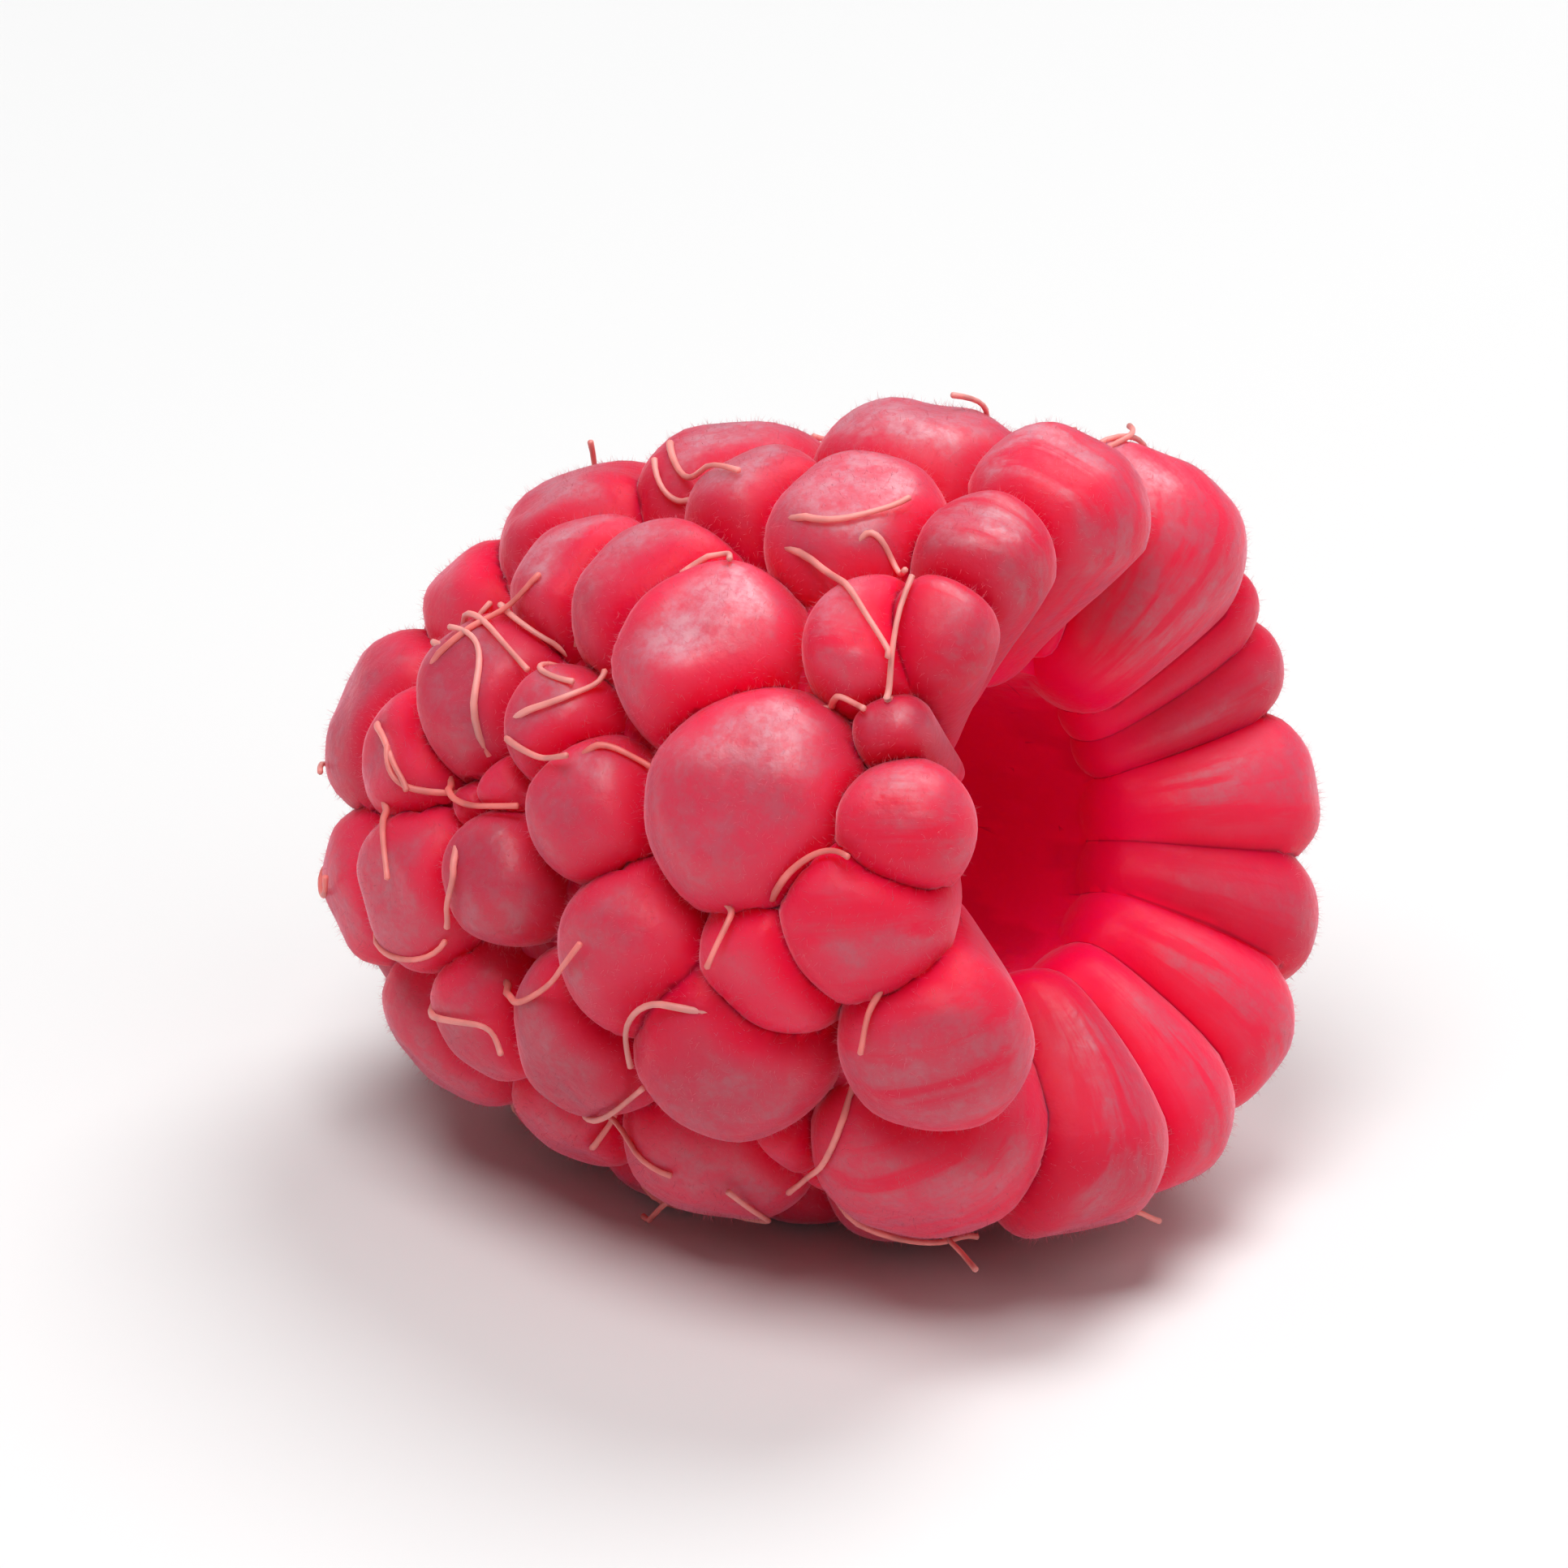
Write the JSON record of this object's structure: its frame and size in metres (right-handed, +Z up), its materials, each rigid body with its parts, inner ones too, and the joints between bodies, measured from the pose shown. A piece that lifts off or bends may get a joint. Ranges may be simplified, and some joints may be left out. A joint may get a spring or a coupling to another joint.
{
  "type": "raspberry",
  "caption": "Picked red raspberry lying on its side: rounded drupelets packed round a slanting hollow whose open mouth is ringed by their narrowing sides.",
  "frame": {"origin": "on the table, under the middle of the berry's box as it lies on its side", "axes": "+X the way the hollow opens, seen from above (its axis rises 14 degrees towards +X), +Z up"},
  "size_m": [0.0249, 0.021, 0.0213],
  "materials": {
    "flesh": "soft, juicy, velvety skin"
  },
  "bodies": {
    "root": {"raspberry": "flesh"}
  },
  "joints": []
}
